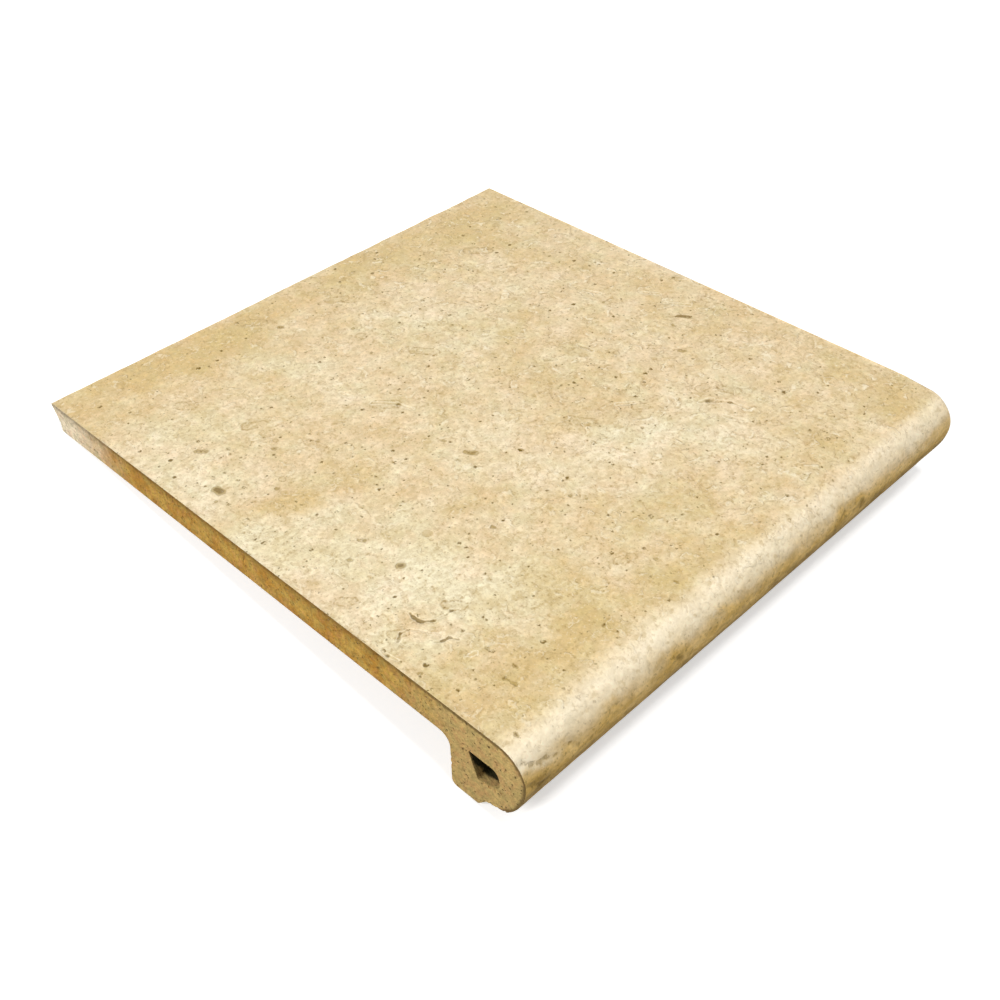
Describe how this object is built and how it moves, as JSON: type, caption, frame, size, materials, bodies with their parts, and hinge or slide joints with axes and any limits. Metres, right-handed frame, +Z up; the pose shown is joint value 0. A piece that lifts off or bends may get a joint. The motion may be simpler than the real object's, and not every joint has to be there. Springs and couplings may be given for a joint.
{
  "type": "stair tread tile",
  "caption": "Extruded glazed stoneware stair tread tile: flat slab with a deep rounded nose along its front edge, a core hole through the nose and a stepped land under it.",
  "frame": {"origin": "on the floor under the middle of the tile, as it lies unheld on its back foot and the heel of its nose", "axes": "+X along the nose, -Y towards the nose, +Z up; the tread face rises towards the nose by 6.2 degrees"},
  "size_m": [0.315, 0.3312, 0.0496],
  "materials": {
    "glazed_stoneware": "cream and tan travertine-look glaze, satin; ends and underside bare ochre stoneware"
  },
  "bodies": {
    "root": {"tread_tile": "glazed_stoneware"}
  },
  "joints": []
}
